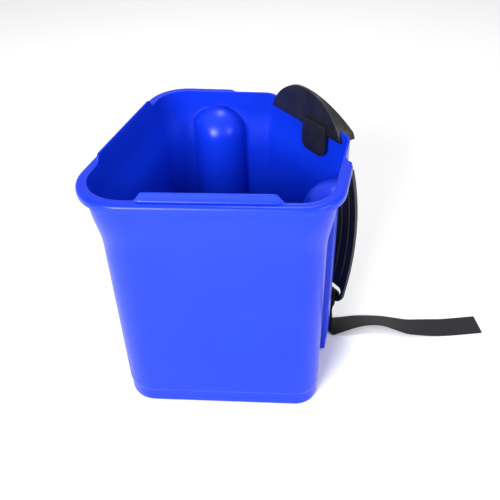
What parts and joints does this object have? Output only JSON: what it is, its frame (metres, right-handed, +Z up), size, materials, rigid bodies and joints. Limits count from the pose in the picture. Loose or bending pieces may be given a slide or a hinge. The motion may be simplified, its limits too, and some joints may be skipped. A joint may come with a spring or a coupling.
{
  "type": "feed bucket",
  "caption": "Moulded five-sided corner feed bucket with a lift-off half-moon hanger, a bowed rear leg and a webbing safety strap.",
  "frame": {"origin": "middle of the tub's flat base, on the surface it stands on", "axes": "+Z up, +Y towards the back wall and its hanger, X across the tub"},
  "size_m": [0.3193, 0.4312, 0.312],
  "materials": {
    "blue_plastic": "satin moulded polyethylene, bright blue",
    "black_plastic": "fine-grained black moulding with worn bright edges",
    "webbing": "charcoal woven polypropylene webbing"
  },
  "bodies": {
    "tub_body": {"tub": "blue_plastic"},
    "hanger": {"saddle": "black_plastic", "tongue": "black_plastic"},
    "leg_body": {"leg": "black_plastic", "strap_loop": "webbing", "strap_tail": "webbing"}
  },
  "joints": [
    {"name": "hanger_lift", "type": "slide", "parent": "tub_body", "child": "hanger", "axis": [0, 0, 1], "range_m": [0, 0.04]},
    {"name": "leg_swing", "type": "hinge", "parent": "hanger", "child": "leg_body", "pos_m": [0, 0.13527, 0.258], "axis": [1, 0, 0], "range_deg": [0, 12]}
  ]
}
